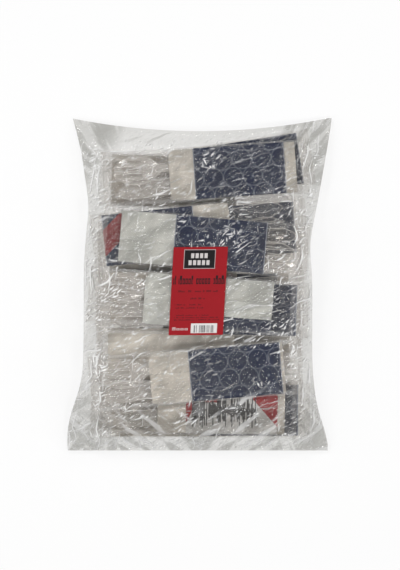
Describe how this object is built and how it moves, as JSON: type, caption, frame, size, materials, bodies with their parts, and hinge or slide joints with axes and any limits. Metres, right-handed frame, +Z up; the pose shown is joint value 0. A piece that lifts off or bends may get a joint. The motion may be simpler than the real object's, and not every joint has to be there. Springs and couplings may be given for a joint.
{
  "type": "plastic cutlery pack",
  "caption": "Clear heat-sealed film bag of individually wrapped disposable cutlery sets, each with fork, spoon, knife, napkin and wet wipe, with a red label.",
  "frame": {"origin": "on the floor under the middle of the bag", "axes": "+X across the bag, +Y towards its top seal, +Z up out of the face with the label; the bag lies on its back"},
  "size_m": [0.2776, 0.349, 0.0472],
  "materials": {
    "bag_film": "clear crinkled film",
    "sleeve_film": "clear film",
    "clear_plastic": "clear moulded plastic",
    "napkin_warm": "embossed paper",
    "napkin_cool": "embossed paper",
    "sachet_navy": "printed foil",
    "sachet_white": "printed foil",
    "inner_pack": "clear film over paper and plastic",
    "label_red": "printed paper label"
  },
  "bodies": {
    "root": {"outer_bag": "bag_film", "label": "label_red", "set_01_sleeve": "sleeve_film", "set_01_cutlery": "clear_plastic", "set_01_napkin": "napkin_warm", "set_01_wet_wipe": "sachet_navy", "set_02_sleeve": "sleeve_film", "set_02_cutlery": "clear_plastic", "set_02_napkin": "napkin_warm", "set_02_wet_wipe": "sachet_white", "set_03_sleeve": "sleeve_film", "set_03_cutlery": "clear_plastic", "set_03_napkin": "napkin_warm", "set_03_wet_wipe": "sachet_navy", "set_04_sleeve": "sleeve_film", "set_04_cutlery": "clear_plastic", "set_04_napkin": "napkin_warm", "set_04_wet_wipe": "sachet_navy", "set_05_sleeve": "sleeve_film", "set_05_cutlery": "clear_plastic", "set_05_napkin": "napkin_warm", "set_05_wet_wipe": "sachet_navy", "set_06_sleeve": "sleeve_film", "set_06_cutlery": "clear_plastic", "set_06_napkin": "napkin_warm", "set_06_wet_wipe": "sachet_navy", "set_07_sleeve": "sleeve_film", "set_07_cutlery": "clear_plastic", "set_07_napkin": "napkin_warm", "set_07_wet_wipe": "sachet_white", "set_08_sleeve": "sleeve_film", "set_08_cutlery": "clear_plastic", "set_08_napkin": "napkin_warm", "set_08_wet_wipe": "sachet_navy", "set_09_sleeve": "sleeve_film", "set_09_cutlery": "clear_plastic", "set_09_napkin": "napkin_warm", "set_09_wet_wipe": "sachet_white", "set_10_sleeve": "sleeve_film", "set_10_cutlery": "clear_plastic", "set_10_napkin": "napkin_cool", "set_10_wet_wipe": "sachet_navy", "set_11_sleeve": "sleeve_film", "set_11_cutlery": "clear_plastic", "set_11_napkin": "napkin_cool", "set_11_wet_wipe": "sachet_navy", "set_12_sleeve": "sleeve_film", "set_12_cutlery": "clear_plastic", "set_12_napkin": "napkin_warm", "set_12_wet_wipe": "sachet_navy", "inner_set_1": "inner_pack", "inner_set_2": "inner_pack", "inner_set_3": "inner_pack", "inner_set_4": "inner_pack", "inner_set_5": "inner_pack", "inner_set_6": "inner_pack", "inner_set_7": "inner_pack", "inner_set_8": "inner_pack"}
  },
  "joints": []
}
